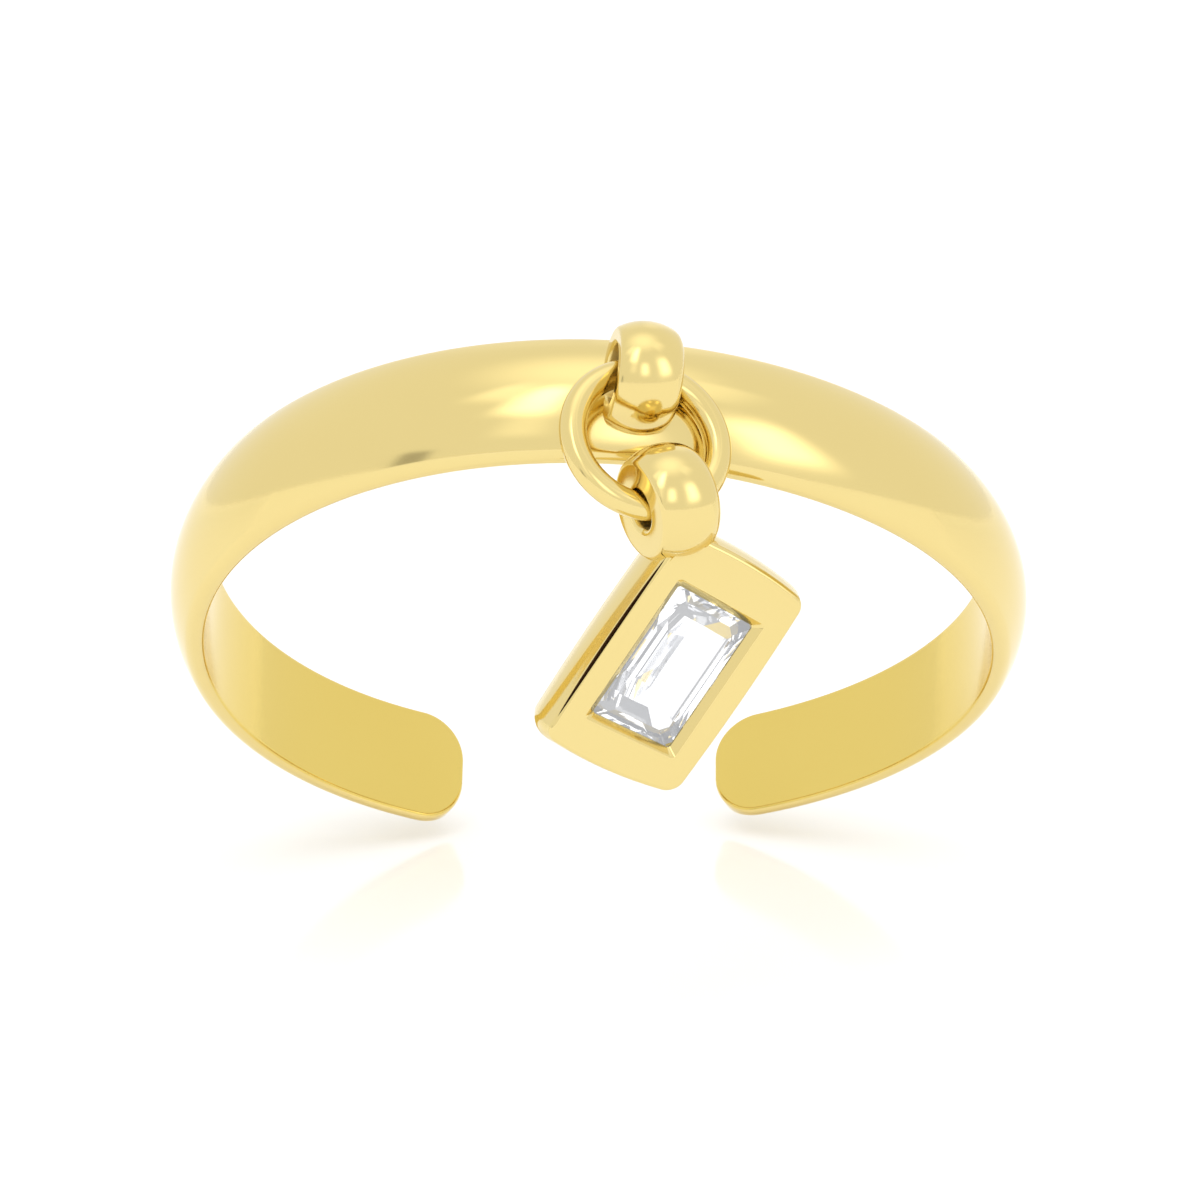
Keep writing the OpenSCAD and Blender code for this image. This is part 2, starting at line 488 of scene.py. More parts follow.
@dataclass(frozen=True)
class Gold:
    """Polished yellow gold with the faint waves and hairlines of hand polishing."""

    name: str = "Polished yellow gold"
    colour: Colour = (0.82, 0.67, 0.29)
    deep_colour: Colour = (0.80, 0.635, 0.26)
    roughness: Point = (0.06, 0.13)
    wave_size: float = 2.4
    wave_depth: float = 0.008
    cloud_size: float = 4.08
    cloud_ends: Point = (0.3, 0.7)
    hairline_size: float = 0.09
    hairline_depth: float = 0.0002

    def material(self) -> bpy.types.Material:
        """Builds the node material.

        Returns:
            The finished material.
        """
        graph = SurfaceGraph(self.name)
        clouds = graph.noise(self.cloud_size, 3.0)
        broad = graph.bump(graph.noise(self.wave_size, 1.0), self.wave_depth)
        fine = graph.bump(graph.noise(self.hairline_size, 2.0), self.hairline_depth, broad)
        return graph.surface({
            "Metallic": 1.0,
            "Base Color": graph.blend(clouds, self.colour, self.deep_colour),
            "Roughness": graph.remap(clouds, self.cloud_ends, self.roughness),
            "Normal": fine,
        })


@dataclass(frozen=True)
class ClearStone:
    """A clear cut stone with faint veils inside."""

    name: str = "Clear cut stone"
    colour: Colour = (0.98, 0.985, 1.0)
    ior: float = 2.16
    veil_size: float = 0.5
    veil_ends: Point = (0.45, 0.7)
    roughness: Point = (0.0, 0.04)
    held_colour: Colour = (0.97, 0.98, 1.0)
    held_light: float = 0.07

    def material(self) -> bpy.types.Material:
        """Builds the node material.

        Returns:
            The finished material.
        """
        graph = SurfaceGraph(self.name)
        return graph.surface({
            "Base Color": (*self.colour, 1.0),
            "Transmission Weight": 1.0,
            "IOR": self.ior,
            "Roughness": graph.remap(
                graph.noise(self.veil_size, 3.0), self.veil_ends, self.roughness
            ),
            # Light that is thrown about inside the cut more often than a render follows it
            "Emission Color": (*self.held_colour, 1.0),
            "Emission Strength": self.held_light,
        })


@dataclass(frozen=True)
class PaintedCreaseShade:
    """Painted shade: a blackish brown with a faint grain, laid on the walls of a crease where shade falls."""

    name: str = "Dark polish in a crease"
    colour: Colour = (0.09, 0.035, 0.012)
    light_colour: Colour = (0.22, 0.11, 0.04)
    grain: float = 0.12
    sheen_of_metal: float = 0.5
    roughness: float = 0.45

    def material(self) -> bpy.types.Material:
        """Builds the node material.

        Returns:
            The finished material.
        """
        graph = SurfaceGraph(self.name)
        return graph.surface({
            "Base Color": graph.blend(
                graph.noise(self.grain, 2.0), self.colour, self.light_colour
            ),
            "Metallic": self.sheen_of_metal,
            "Roughness": self.roughness,
        })


@dataclass(frozen=True)
class Finishes:
    """The finishes of the metal."""

    polish: bpy.types.Material
    # Gold inside the band, darkened with painted shade
    inside: bpy.types.Material
    bore: bpy.types.Material
    # Walls of the stone's pocket, painted near-white for painted reflections in the stone
    seat: bpy.types.Material
    # Painted shade for the walls of the setting's left crease
    dark: bpy.types.Material


def show(
    mesh: bpy.types.Mesh, name: str, finish: bpy.types.Material, part: Part
) -> bpy.types.Object:
    """Makes a finished mesh one piece of the object.

    Args:
        mesh: The mesh, in place.
        name: The piece's name.
        finish: Its material.
        part: The body that it rides on and the node that it stands for.

    Returns:
        The piece.
    """
    mesh.materials.clear()
    mesh.materials.append(finish)
    piece = linked(name, mesh)
    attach(piece, part.body)
    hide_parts(part.node)
    part.node
    LOG.info("%s: %d faces on %s", name, len(mesh.polygons), part.body)
    return piece


def refinish(
    piece: bpy.types.Object, finish: bpy.types.Material, chosen: Callable[[Vector], bool]
) -> None:
    """Gives some faces of a piece another finish.

    Args:
        piece: The piece.
        finish: The other finish.
        chosen: Tells from a face's middle, in metres, whether it takes the finish.
    """
    piece.data.materials.append(finish)
    slot = len(piece.data.materials) - 1
    for face in piece.data.polygons:
        if chosen(face.center):
            face.material_index = slot


def polished(mesh: bpy.types.Mesh, crease: float = 32.0) -> bpy.types.Mesh:
    """Shades a mesh smooth, apart from its creases, with its large faces kept flat.

    Args:
        mesh: The mesh.
        crease: The least angle of a crease, in degrees.

    Returns:
        The mesh with its final normals.
    """
    outward(mesh)
    shell = bmesh.new()
    shell.from_mesh(mesh)
    for face in shell.faces:
        face.smooth = True
    limit = math.radians(crease)
    for edge in shell.edges:
        edge.smooth = len(edge.link_faces) == 2 and edge.calc_face_angle(0.0) < limit
    shell.to_mesh(mesh)
    shell.free()
    holder = linked(mesh.name, mesh)
    weighted = holder.modifiers.new("Flat faces", "WEIGHTED_NORMAL")
    weighted.keep_sharp = True
    weighted.weight = 100
    return settled(holder)


def hinge(name: str) -> Tuple[Vector, Vector]:
    """A point of a joint's axis, in metres, and the way from left to right along it."""
    joint = next(j for j in frame["joints"] if j["name"] == name)
    return Vector(joint["pos_m"]), -Vector(joint["axis"]).normalized()


def standing(place: Vector, along: Vector, upward: Vector) -> Matrix:
    """The move that lays X along a direction, with Z as near as it goes to another.

    Args:
        place: Where the origin goes.
        along: Where X goes.
        upward: What Z leans to.

    Returns:
        The move.
    """
    x = along.normalized()
    y = upward.cross(x).normalized()
    turn = Matrix((x, y, x.cross(y))).transposed()
    return Matrix.Translation(place) @ turn.to_4x4()


@dataclass
class DomedRing:
    """A ring with a round dome outside and a straight hole: the eye, and the drop's bail."""

    wall: float
    width: float
    hole: float = 1.1
    edge: float = 0.07
    shoulders: Point = (0.07, 0.07)
    steps: int = 128
    edge_steps: int = 6
    shoulder_steps: int = 10
    dome_steps: int = 40

    @property
    def radius(self) -> float:
        """Radius of the dome."""
        return self.hole / 2 + self.wall

    def shoulder(self, round_r: float) -> Tuple[float, float, float]:
        """Where the dome rolls over into one flat side.

        Args:
            round_r: Radius of the rolled edge.

        Returns:
            The place of its centre along the axis and off it, and the angle where the dome starts.
        """
        along = self.width / 2 - round_r
        off = math.sqrt((self.radius - round_r) ** 2 - along ** 2)
        return along, off, math.degrees(math.atan2(off, along))

    def mesh(self, name: str) -> bpy.types.Mesh:
        """Turns the ring about X.

        Args:
            name: The mesh's name.

        Returns:
            The ring round the origin.
        """
        half = self.width / 2
        rim = self.hole / 2 + self.edge
        left_r, right_r = self.shoulders
        left, left_off, left_lean = self.shoulder(left_r)
        right, right_off, right_lean = self.shoulder(right_r)
        profile = (
            arc((half - self.edge, rim), self.edge, -90, 0, self.edge_steps)
            + arc((right, right_off), right_r, 0, right_lean, self.shoulder_steps)[:-1]
            + arc((0, 0), self.radius, right_lean, 180 - left_lean, self.dome_steps)
            + arc((-left, left_off), left_r, 180 - left_lean, 180, self.shoulder_steps)[1:]
            + arc((self.edge - half, rim), self.edge, 180, 270, self.edge_steps)
        )
        return turned(profile, self.steps, name)

    def in_bore(self, middle: Vector, along: Vector) -> Callable[[Vector], bool]:
        """Tells which faces are the wall of the hole.

        Args:
            middle: The middle of the ring where it is placed, in metres.
            along: The way of its hole.

        Returns:
            A test of a face's middle.
        """
        reach = (self.width / 2 - self.edge / 2) * MM
        radius = (self.hole / 2 + self.edge / 2) * MM

        def chosen(spot: Vector) -> bool:
            """Whether a face's middle lies in the hole."""
            off = spot - middle
            far = off.dot(along)
            return abs(far) < reach and (off - along * far).length < radius

        return chosen


@dataclass
class OpenBand:
    """The open band, domed outside, with the eye soldered to its front."""

    thickness: float = 0.75
    width: float = 2.6
    rim: float = 0.3
    half_gap: float = 20.5
    gap_turn: float = 0.8
    corner: float = 1.05
    right_taper: float = 0.2
    taper_power: float = 3.0
    twist: float = 0.1
    outer_edge: float = 0.12
    inner_edge: float = 0.11
    steps_along: int = 300
    steps_across: int = 52
    inside_reach: float = 0.03
    # The sizes above that the tree takes as lengths, in the order of its inputs
    lengths: Tuple[str, ...] = (
        "thickness", "width", "rim", "corner", "right_taper", "twist", "outer_edge", "inner_edge"
    )

    def graph(self) -> GeometryGraph:
        """Builds the tree that bends a flat grid into the band.

        Returns:
            The tree, with one named input for each size.
        """
        graph = GeometryGraph("Open domed band")
        inner_r, half_gap, turn = graph.numbers(("Inner radius", "Half gap", "Gap turn"))
        thickness, width, rim, corner, taper, twist, outer_edge, inner_edge = graph.numbers(
            [name.capitalize().replace("_", " ") for name in self.lengths]
        )
        flat = graph.fill(graph.node("GeometryNodeMeshGrid"), {
            "Size X": 2.0,
            "Size Y": 2.0,
            "Vertices X": graph.way_in("Steps along", "Int"),
            "Vertices Y": graph.way_in("Steps across", "Int"),
        }).outputs["Mesh"]
        raised = graph.fill(
            graph.node("GeometryNodeExtrudeMesh", mode="FACES"),
            {"Mesh": flat, "Offset": (0.0, 0.0, 1.0), "Offset Scale": 1.0, "Individual": False},
        )
        under = graph.fill(graph.node("GeometryNodeFlipFaces"), {"Mesh": flat})
        both = graph.node("GeometryNodeJoinGeometry")
        graph.feed(both.inputs[0], raised.outputs["Mesh"])
        graph.feed(both.inputs[0], under.outputs[0])
        closed = graph.fill(
            graph.node("GeometryNodeMergeByDistance"),
            {"Geometry": both.outputs[0], "Distance": WELD},
        )
        along, across, layer = graph.split(graph.node("GeometryNodeInputPosition").outputs[0])
        middle_r = inner_r + thickness / 2.0
        crown_r = inner_r + thickness
        half_w = width / 2.0
        rise = thickness - rim
        dome_r = (half_w * half_w + rise * rise) / (2.0 * rise)
        half_length = middle_r * (math.pi - half_gap)
        arc_at = half_length * graph.math("SINE", along * (math.pi / 2))
        beyond = graph.math("ABSOLUTE", arc_at) - half_length + corner
        in_corner = graph.math("MAXIMUM", beyond, 0.0)
        half_here = half_w - corner + graph.root(corner * corner - in_corner * in_corner)
        z = half_here * graph.math("SINE", across * (math.pi / 2))
        above = graph.math("ABSOLUTE", z) - half_w + corner
        over_side = graph.math("MAXIMUM", above, 0.0)
        reach = graph.root(in_corner * in_corner + over_side * over_side)
        inside = graph.math("MINIMUM", graph.math("MAXIMUM", beyond, above), 0.0)
        depth = corner - reach - inside
        outer = crown_r - dome_r + graph.root(dome_r * dome_r - z * z)
        outer = outer - self.fall(graph, depth, outer_edge)
        inner = inner_r + self.fall(graph, depth, inner_edge)
        rho = inner + (outer - inner) * layer
        angle = arc_at / middle_r + turn
        towards_end = graph.math("MAXIMUM", arc_at / half_length, 0.0)
        tapered = taper * graph.math("POWER", towards_end, self.taper_power)
        raised_by = tapered * (0.5 - 0.5 * (z / half_w))
        twisted_by = twist * graph.math("SINE", 2.0 * (arc_at / middle_r))
        bent = graph.fill(graph.node("ShaderNodeCombineXYZ"), {
            "X": rho * graph.math("SINE", angle),
            "Y": 0.0 - rho * graph.math("COSINE", angle),
            "Z": z + raised_by - twisted_by,
        })
        moved = graph.fill(
            graph.node("GeometryNodeSetPosition"),
            {"Geometry": closed.outputs[0], "Position": bent.outputs[0]},
        )
        graph.finish(moved.outputs[0])
        return graph

    @staticmethod
    def eye() -> DomedRing:
        """The eye's sizes."""
        return DomedRing(wall=0.48, width=1.2, shoulders=(0.1, 0.3))

    @staticmethod
    def fall(graph: Graph, depth: Field, edge: Field) -> Field:
        """How far a rounded edge falls away, at a depth in from the outline.

        Args:
            graph: The tree.
            depth: Distance in from the outline.
            edge: Radius of the rounded edge.

        Returns:
            The fall.
        """
        short = edge - graph.math("MINIMUM", depth, edge)
        return edge - graph.root(edge * edge - short * short)

    def place(self, finishes: Finishes) -> bpy.types.Object:
        """Makes the band with its eye.

        Args:
            finishes: The metal's finishes.

        Returns:
            The finished piece.
        """
        bore = next(m for m in frame["record"]["mounts"] if m["name"] == "toe_bore")
        toe = Vector(bore["axis"])
        mesh = self.graph().mesh(
            inner_radius=bore["dims"]["r_mm"] * MM,
            **{name: getattr(self, name) * MM for name in self.lengths},
            half_gap=math.radians(self.half_gap),
            gap_turn=math.radians(self.gap_turn),
            steps_along=self.steps_along,
            steps_across=self.steps_across,
            finish=finishes.polish,
        )
        mesh.transform(standing(Vector(), Vector((toe.z, 0, -toe.x)), toe))
        middle, along = hinge("ring_swing")
        ring = self.eye()
        eye = ring.mesh("Eye")
        eye.transform(standing(middle, along, toe))
        solid = combined(outward(mesh), Cut.JOIN, eye)
        piece = show(polished(solid), "open_band", finishes.polish, Part.BAND)
        inside_r = (bore["dims"]["r_mm"] + self.inside_reach) * MM
        # The band's inside takes the darker gold of painted shade
        refinish(
            piece, finishes.inside, lambda spot: (spot - toe * spot.dot(toe)).length < inside_r
        )
        refinish(piece, finishes.bore, ring.in_bore(middle, along))
        return piece


@dataclass
class WireRing:
    """The round wire ring between the eye and the drop."""

    wire: float = 0.5
    inner: float = 2.25
    steps_round: int = 192
    steps_wire: int = 40

    def graph(self) -> GeometryGraph:
        """Builds the tree that sweeps the wire's section round a circle.

        Returns:
            The tree, with one named input for each size.
        """
        graph = GeometryGraph("Wire ring")
        circle = "GeometryNodeCurvePrimitiveCircle"
        path = graph.fill(graph.node(circle), {
            "Radius": graph.way_in("Path radius", "Float"),
            "Resolution": graph.way_in("Steps round", "Int"),
        })
        section = graph.fill(graph.node(circle), {
            "Radius": graph.way_in("Wire radius", "Float"),
            "Resolution": graph.way_in("Steps of wire", "Int"),
        })
        swept = graph.fill(graph.node("GeometryNodeCurveToMesh"), {
            "Curve": path.outputs["Curve"], "Profile Curve": section.outputs["Curve"]
        })
        graph.finish(swept.outputs[0])
        return graph

    def place(self, finishes: Finishes) -> bpy.types.Object:
        """Makes the ring where the frame has it.

        Args:
            finishes: The metal's finishes.

        Returns:
            The finished piece.
        """
        mesh = self.graph().mesh(
            path_radius=(self.inner + self.wire) / 2 * MM,
            steps_round=self.steps_round,
            wire_radius=self.wire / 2 * MM,
            steps_of_wire=self.steps_wire,
            finish=finishes.polish,
        )
        points = [vertex.co for vertex in frame["nodes"][Part.WIRE_RING.node].data.vertices]
        centre = sum(points, Vector()) / len(points)
        arms = [point - centre for point in points]
        longest = sorted(arms, key=lambda arm: arm.length)[-1]
        widest = max(arms, key=lambda arm: arm.cross(longest).length)
        normal = longest.cross(widest).normalized()
        low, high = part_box(Part.WIRE_RING.node)
        mesh.transform(standing((low + high) / 2, longest - longest.project(normal), normal))
        return show(polished(outward(mesh)), "wire_ring", finishes.polish, Part.WIRE_RING)


@dataclass(frozen=True)
class Crease:
    """A thin tapered crease along one front edge of the setting, between its face and a wall."""

    start: Point
    end: Point
    inward: Point
    half_width: float
    depth: float
    steps: int = 24
    out: float = 0.09
    fullness: float = 0.6
    least: float = 0.02

    @property
    def down(self) -> Vector:
        """The way into the crease."""
        return Vector((self.inward[0], 1, self.inward[1])).normalized()

    def station(self, box: "Setting", share: float) -> Tuple[Vector, float]:
        """The crease at one share of its way.

        Args:
            box: The setting that it is cut into.
            share: How far along, from 0 to 1.

        Returns:
            The place on the rounded edge, and how much of its full size the crease has there.
        """
        x = self.start[0] + (self.end[0] - self.start[0]) * share
        z = self.start[1] + (self.end[1] - self.start[1]) * share
        middle = box.bowed(x, -box.depth / 2, z) + self.down * box.edge_sag
        return middle, max(math.sin(math.pi * share), 0.0) ** self.fullness + self.least

    def mesh(self, box: "Setting") -> bpy.types.Mesh:
        """The solid that is cut out for the crease.

        Args:
            box: The setting that it is cut into.

        Returns:
            The solid in the setting's own frame.
        """
        across = Vector((self.inward[0], -1, self.inward[1])).normalized()
        rings = []
        for step in range(self.steps + 1):
            middle, size = self.station(box, step / self.steps)
            wide = across * self.half_width * size
            rings.append([middle - self.down * self.out, middle + wide,
                          middle + self.down * self.depth * size, middle - wide])
        return loft(rings, "Crease", capped=True)


@dataclass
class Setting:
    """The drop's box for the stone, with the bail soldered to its top corner."""

    width: float = 2.74
    length: float = 4.32
    depth: float = 1.3
    corner: float = 0.25
    edge: float = 0.1
    bow: Point = (0.05, 0.12)
    pillow: float = 0.07
    skew: Point = (0.05, 0.13)
    side_rim: float = 0.46
    end_rim: float = 0.7
    stone_low: float = 0.08
    corner_in: float = 0.15
    yaw: float = 14.0
    turn: float = 3.0
    mouth: Point = (0.16, 0.1)
    mouth_edge: float = 0.03
    lip: float = 0.05
    stone_air: float = 0.03
    pocket_back: float = 0.47
    seat: float = 0.42
    fillet: float = 0.3
    neck_root: float = 0.12
    overlap: float = 0.004
    bore: float = 0.94
    seat_r: float = 0.1
    pocket_r: float = 0.04
    opening_r: float = 0.06
    mouth_r: float = 0.08
    reach: float = 0.08
    skin: float = 0.01
    corner_steps: int = 8
    side_steps: int = 12
    wall_steps: int = 8
    edge_steps: int = 6

    def bail(self) -> DomedRing:
        """The bail's sizes."""
        return DomedRing(wall=0.73, width=1.26, hole=0.7, edge=0.12, shoulders=(0.12, 0.45))

    def creases(self) -> Tuple[Crease, Crease]:
        """The creases in the front edges.

        Returns:
            The one along the left edge, whose walls take painted shade, and the faint one along the top.
        """
        left, top = -self.width / 2, self.length / 2
        return (
            Crease((left, 1.6), (left, -1.75), (1, 0), 0.04, 0.2),
            Crease((-0.1, top), (1.3, top), (0, -1), 0.03, 0.07),
        )

    @property
    def edge_sag(self) -> float:
        """How far a rounded front edge lies inside the sharp one."""
        return self.edge * (math.sqrt(2) - 1)

    def bowed(self, x: float, y: float, z: float) -> Vector:
        """Moves a point outwards as the setting's sides are bowed.

        Args:
            x, y, z: Its place across the setting, its depth and its place along it.

        Returns:
            The moved point.
        """
        half_w, half_l = self.width / 2, self.length / 2
        side = self.bow[0] / half_w * max(1 - (z / half_l) ** 2, 0.0)
        end = self.bow[1] / half_l * max(1 - (x / half_w) ** 2, 0.0)
        return self.skewed(Vector((x * (1 + side), y, z * (1 + end))))

    def skewed(self, point: Vector) -> Vector:
        """Leans the setting's ends a little out of square, the lower one more, as filed by hand.

        Args:
            point: A point in the setting's own frame.

        Returns:
            The moved point.
        """
        share = min(max(0.5 + point.z / self.length, 0.0), 1.0)
        lean = self.skew[1] + (self.skew[0] - self.skew[1]) * share
        return point + Vector((0, 0, lean * point.x))

    def outline(self, w: float, l: float, r: float, y: float) -> List[Vector]:
        """A rectangle with round corners, upright at one depth.

        Args:
            w: Its width.
            l: Its height.
            r: Radius of its corners.
            y: Its depth.

        Returns:
            Its points, as many for any size.
        """
        flat: List[Point] = []
        corners = ((1, 1, 0), (-1, 1, 90), (-1, -1, 180), (1, -1, 270))
        for side, end, start in corners:
            middle = (side * (w / 2 - r), end * (l / 2 - r))
            flat += arc(middle, r, start, start + 90, self.corner_steps)
        points = []
        for k, (x, z) in enumerate(flat):
            after = flat[(k + 1) % len(flat)]
            straight = k % (self.corner_steps + 1) == self.corner_steps
            steps = self.side_steps if straight else 1
            for share in (step / steps for step in range(steps)):
                points.append(Vector((x + (after[0] - x) * share, y, z + (after[1] - z) * share)))
        return points

    def box_mesh(self) -> bpy.types.Mesh:
        """Lofts the box, with its sloped mouth, its lip, the stone's pocket and the open seat.

        Returns:
            The box round the origin, its face to -Y.
        """
        front = -self.depth / 2
        back = self.depth / 2
        stone_w = self.width - 2 * self.side_rim
        stone_l = self.length - 2 * self.end_rim
        wall = [2 * k / self.wall_steps - 1 for k in range(1, self.wall_steps)]
        outside = (
            arc((front + self.edge, self.edge), self.edge, 180, 270, self.edge_steps)
            + [((back - self.edge) * share, self.pillow * (share * share - 1)) for share in wall]
            + arc((back - self.edge, self.edge), self.edge, 270, 360, self.edge_steps)
        )
        rings = []
        for y, inset in outside:
            ring = self.outline(
                self.width - 2 * inset, self.length - 2 * inset, self.corner - inset / 2, y
            )
            rings.append([self.bowed(*point) for point in ring])
        mouth_t, mouth_w = self.mouth
        opening = (stone_w - 2 * mouth_w, stone_l - 2 * mouth_w)
        rolled = 2 * self.mouth_edge
        pocket = (stone_w + 2 * self.stone_air, stone_l + 2 * self.stone_air)
        seat = (pocket[0] - 2 * self.seat, pocket[1] - 2 * self.seat)
        inside = [
            (*seat, back, self.seat_r),
            (*seat, back - self.lip, self.seat_r),
            (*pocket, front + self.pocket_back, self.pocket_r),
            (*pocket, front + mouth_t + self.lip, self.pocket_r),
            (*opening, front + mouth_t + self.lip, self.opening_r),
            (*opening, front + mouth_t, self.opening_r),
            (stone_w, stone_l, front + self.mouth_edge, self.mouth_r),
            (stone_w + rolled, stone_l + rolled, front, self.mouth_r),
        ]
        low = Vector((0, 0, -self.stone_low))
        for w, l, y, r in inside:
            rings.append([self.skewed(point + low) for point in self.outline(w, l, r, y)])
        return loft(rings, "Setting")

    def neck(self) -> bpy.types.Mesh:
        """The solder that fills the crease between the bail's dome and the box.

        Returns:
            A ring round the bail's middle, its axis along X.
        """
        radius = self.bail().radius
        face = self.depth / 2 - self.overlap
        reach = math.sqrt((radius + self.fillet) ** 2 - (face + self.fillet) ** 2)
        start = math.degrees(math.atan2(reach, face + self.fillet))
        middle = (face + self.fillet, reach)
        rise = arc(middle, self.fillet, 180, 180 + start, self.corner_steps)
        half = rise + [(rise[-1][0], rise[-1][1] - self.neck_root)]
        mirrored = [(-x, rho) for x, rho in reversed(half)]
        return turned(half + mirrored, self.bail().steps, "Neck")

    def hung(self) -> Tuple[Matrix, Matrix]:
        """Where the setting hangs.

        Returns:
            The move to the bail's middle with the face turned, and the one from the setting's
            own frame to the model's.
        """
        middle, _ = hinge("drop_swing")
        lean = math.atan(self.width / self.length) + math.radians(self.turn)
        drop = (self.bore + math.hypot(self.width, self.length)) / 2 - self.corner_in
        hang = Matrix.Translation(middle) @ Matrix.Rotation(math.radians(self.yaw), 4, "Z")
        return hang, hang @ Matrix.Translation((0, 0, -drop * MM)) @ Matrix.Rotation(lean, 4, "Y")

    def place(self, finishes: Finishes) -> bpy.types.Object:
        """Makes the setting where the frame has it.

        Args:
            finishes: The metal's finishes.

        Returns:
            The finished piece.
        """
        middle, along = hinge("drop_swing")
        upright = standing(middle, along, Vector((0, 0, 1)))
        bail = self.bail()
        hang, lower = self.hung()
        box = self.box_mesh()
        inset = 2 * self.edge
        clip = loft([
            self.outline(self.width - inset, self.length - inset, self.corner - self.edge, y)
            for y in (-self.depth, self.depth)
        ], "Clip", capped=True)
        box.transform(lower)
        clip.transform(lower)
        neck = self.neck()
        neck.transform(hang @ Matrix.Rotation(math.pi / 2, 4, "Z"))
        box = combined(box, Cut.JOIN, combined(neck, Cut.KEEP_COMMON, clip))
        for crease in self.creases():
            cutter = crease.mesh(self)
            cutter.transform(lower)
            box = combined(box, Cut.TAKE_AWAY, cutter)
        drill = bail.hole / 2 + self.overlap
        bore = turned(
            ((-bail.width, drill), (bail.width, drill)), bail.steps, "Bore", capped=True
        )
        bore.transform(upright)
        box = combined(box, Cut.TAKE_AWAY, bore)
        ring = bail.mesh("Bail")
        ring.transform(upright)
        solid = combined(box, Cut.JOIN, ring)
        piece = show(polished(solid), "bezel_setting", finishes.polish, Part.DROP)
        refinish(piece, finishes.bore, bail.in_bore(middle, along))
        # The walls of the left crease take painted shade
        refinish(piece, finishes.dark, self.in_crease(self.creases()[0], lower))
        # The pocket's walls take the near-white of the painted reflection
        refinish(piece, finishes.seat, self.in_pocket(lower))
        return piece

    def in_pocket(self, place: Matrix) -> Callable[[Vector], bool]:
        """Tells which faces are the walls of the stone's pocket.

        Args:
            place: The move from the setting's own frame to the model's.

        Returns:
            A test of a face's middle.
        """
        home = place.inverted()
        half_w = self.width / 2 - self.side_rim + self.reach
        half_l = self.length / 2 - self.end_rim + self.reach
        front = -self.depth / 2 + self.mouth[0] + self.lip / 2

        def chosen(middle: Vector) -> bool:
            """Whether a face's middle lies in the pocket."""
            spot = home @ middle / MM
            behind = front < spot.y < self.depth / 2 - self.skin
            return behind and abs(spot.x) < half_w and abs(spot.z + self.stone_low) < half_l

        return chosen

    def in_crease(self, crease: Crease, place: Matrix) -> Callable[[Vector], bool]:
        """Tells which faces are the walls of a crease.

        Args:
            crease: The crease, along the setting's length.
            place: The move from the setting's own frame to the model's.

        Returns:
            A test of a face's middle.
        """
        home = place.inverted()
        way = crease.end[1] - crease.start[1]

        def chosen(middle: Vector) -> bool:
            """Tells whether a face lies in the crease.

            Args:
                middle: The face's middle, in metres.

            Returns:
                Whether it does.
            """
            spot = home @ middle / MM
            share = (spot.z - crease.start[1] - self.skewed(spot).z + spot.z) / way
            if not 0 < share < 1:
                return False
            edge, size = crease.station(self, share)
            off = spot - edge
            deep = off.dot(crease.down)
            aside = (off - crease.down * deep).length
            return self.skin < deep < crease.depth and aside < crease.half_width * size

        return chosen


@dataclass
class Stone:
    """The clear stone: an oblong with a table, a faceted crown and a scissor-cut back."""

    width: float = 1.82
    length: float = 2.92
    front: float = -0.65
    table_depth: float = 0.19
    corner_cut: float = 0.2
    low: float = 0.08
    # How far in from the girdle, how far behind the table, and where along each side
    levels: Tuple[Tuple[float, float, Tuple[float, ...]], ...] = (
        (0.32, 0.0, (-1, 1)),
        (0.14, 0.11, (-0.75, -0.25, 0.25, 0.75)),
        (0.0, 0.22, (-1, 1)),
        (0.0, 0.28, (-1, 1)),
        (0.273, 0.5404, (-0.85, -0.3, 0.3, 0.85)),
        (0.5642, 0.745, (-0.6, 0, 0.6)),
    )
    keel: Tuple[float, ...] = (0.8628, 0.9, 0.8628)

    def ring(self, inset: float, depth: float, shares: Sequence[float]) -> List[Vector]:
        """Points of the cut's outline at one depth.

        Args:
            inset: How far they lie inside the girdle.
            depth: Their depth behind the table.
            shares: Where they lie along each side, from -1 to 1.

        Returns:
            The points.
        """
        w, l = self.width / 2 - inset, self.length / 2 - inset
        cut = self.corner_cut * (1 - inset / (self.width / 2))
        y = self.front + self.table_depth + depth
        points = []
        for side in (-1, 1):
            for share in shares:
                points.append(Vector((side * w, y, share * (l - cut) - self.low)))
                points.append(Vector((share * (w - cut), y, side * l - self.low)))
        return points

    def mesh(self, setting: Setting) -> bpy.types.Mesh:
        """Cuts the stone as the hull of its corners.

        Args:
            setting: The setting that it is cut to fit.

        Returns:
            The stone in the setting's own frame.
        """
        corners = [point for level in self.levels for point in self.ring(*level)]
        reach = (self.length - self.width) / 2
        for share, depth in zip((-1, 0, 1), self.keel):
            y = self.front + self.table_depth + depth
            corners.append(Vector((0, y, share * reach - self.low)))
        cut = bmesh.new()
        for corner in corners:
            cut.verts.new(setting.skewed(corner) * MM)
        bmesh.ops.convex_hull(cut, input=cut.verts)
        bmesh.ops.recalc_face_normals(cut, faces=cut.faces)
        mesh = bpy.data.meshes.new("Cut stone")
        cut.to_mesh(mesh)
        cut.free()
        return mesh

    def place(self, setting: Setting, finish: bpy.types.Material) -> bpy.types.Object:
        """Lays the stone in the setting.

        Args:
            setting: The setting that holds it.
            finish: The clear finish.

        Returns:
            The finished piece.
        """
        mesh = self.mesh(setting)
        mesh.transform(setting.hung()[1])
        return show(mesh, "cut_stone", finish, Part.STONE)


@dataclass(frozen=True)
class Card:
    """One soft-edged card in the studio's tent, brighter or darker than the rest.

    The azimuth is counted from the camera's side of the tent towards the right.
    """

    azimuth: float
    elevation: float
    width: float
    height: float
    soft: float
    strength: float


